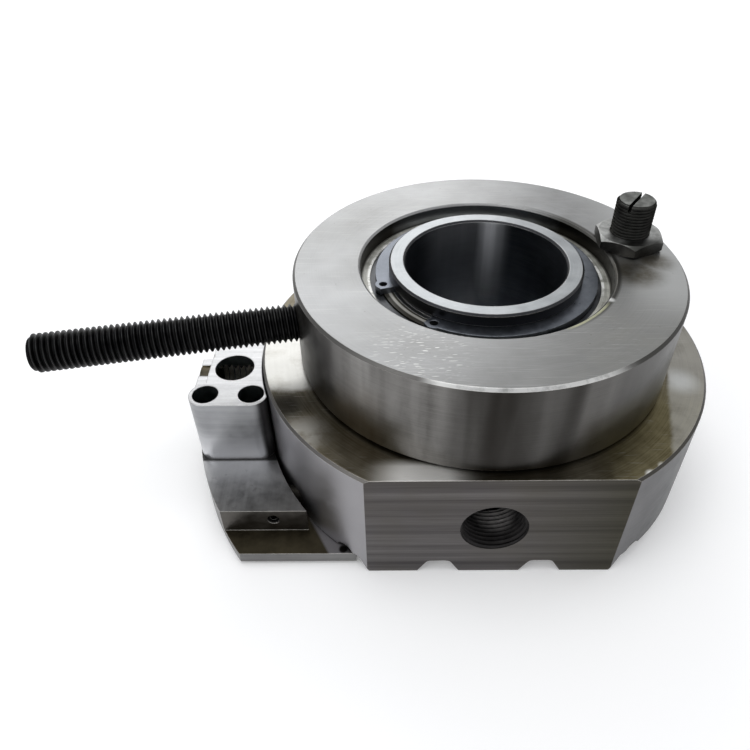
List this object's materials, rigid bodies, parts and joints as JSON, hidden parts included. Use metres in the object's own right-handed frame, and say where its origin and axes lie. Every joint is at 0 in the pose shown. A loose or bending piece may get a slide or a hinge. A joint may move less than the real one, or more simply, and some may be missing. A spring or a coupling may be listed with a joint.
{
  "type": "facing head",
  "caption": "Facing head that clamps on a boring bar: a held torque ring on ball bearings trips a star wheel and feeds a radial tool slide outwards.",
  "frame": {"origin": "point where the boring bar's axis meets the plane of the lands that the head rests on", "axes": "+Z along the boring bar's axis, from the resting lands to the torque ring; -Y out of the front flat; -X towards the tool slide, which feeds outwards along -X"},
  "size_m": [0.2116, 0.1355, 0.0884],
  "materials": {
    "body": "machined",
    "bar_set_screw": "black oxide",
    "torque_ring": "turned and polished",
    "inner_races": "ground",
    "outer_races": "ground",
    "bearing_balls": "polished",
    "ball_cages": "pressed",
    "bearing_shields": "pressed",
    "inner_spacer": "turned",
    "outer_spacer": "turned",
    "hub_circlip": "blued spring steel",
    "torque_rod": "black oxide",
    "trip_stud": "black oxide",
    "stud_nut": "black oxide",
    "star_wheel": "machined",
    "star_pin": "ground",
    "feed_screw": "turned",
    "thrust_washers": "bronze",
    "screw_bush": "bronze",
    "journal_bush": "bronze",
    "drag_plug": "nylon",
    "drag_screw": "black oxide",
    "slide_base": "milled",
    "tool_block": "milled",
    "block_screws": "black oxide",
    "feed_nut": "bronze",
    "guide_rods": "ground",
    "rod_grub_screws": "black oxide",
    "tool_clamp_screw": "black oxide, worn"
  },
  "bodies": {
    "head": {"body": "body", "inner_races": "inner_races", "inner_spacer": "inner_spacer", "hub_circlip": "hub_circlip", "thrust_washers": "thrust_washers", "screw_bush": "screw_bush", "journal_bush": "journal_bush", "drag_plug": "drag_plug", "drag_screw": "drag_screw"},
    "ring": {"torque_ring": "torque_ring", "outer_races": "outer_races", "outer_spacer": "outer_spacer", "bearing_shields": "bearing_shields", "torque_rod": "torque_rod", "stud_nut": "stud_nut"},
    "ball_train": {"bearing_balls": "bearing_balls", "ball_cages": "ball_cages"},
    "stud": {"trip_stud": "trip_stud"},
    "feed": {"feed_screw": "feed_screw", "star_wheel": "star_wheel", "star_pin": "star_pin"},
    "slide": {"slide_base": "slide_base", "tool_block": "tool_block", "block_screws": "block_screws", "feed_nut": "feed_nut", "guide_rods": "guide_rods", "rod_grub_screws": "rod_grub_screws"},
    "tool_clamp": {"tool_clamp_screw": "tool_clamp_screw"},
    "bar_clamp": {"bar_set_screw": "bar_set_screw"}
  },
  "joints": [
    {"name": "ring_spin", "type": "hinge", "parent": "head", "child": "ring", "pos_m": [0, 0, 0.058], "axis": [0, 0, 1], "continuous": true},
    {"name": "ball_roll", "type": "hinge", "parent": "head", "child": "ball_train", "pos_m": [0, 0, 0.058], "axis": [0, 0, 1], "continuous": true},
    {"name": "stud_set", "type": "slide", "parent": "ring", "child": "stud", "axis": [0, 0, -1], "range_m": [-0.005, 0.0024]},
    {"name": "feed_turn", "type": "hinge", "parent": "head", "child": "feed", "pos_m": [-0.0467, 0.01, 0.028], "axis": [1, 0, 0], "range_deg": [0, 2880]},
    {"name": "slide_feed", "type": "slide", "parent": "head", "child": "slide", "axis": [-1, 0, 0], "range_m": [0, 0.012]},
    {"name": "tool_clamp_turn", "type": "slide", "parent": "slide", "child": "tool_clamp", "axis": [1, 0, 0], "range_m": [-0.002, 0.006]},
    {"name": "bar_clamp_turn", "type": "slide", "parent": "head", "child": "bar_clamp", "axis": [0, 1, 0], "range_m": [-0.008, 0.0015]}
  ],
  "couplings": [
    {"joint": "ball_roll", "follows": "ring_spin", "ratio": 0.53986},
    {"joint": "feed_turn", "follows": "slide_feed", "rad_per_m": 4188.8}
  ]
}
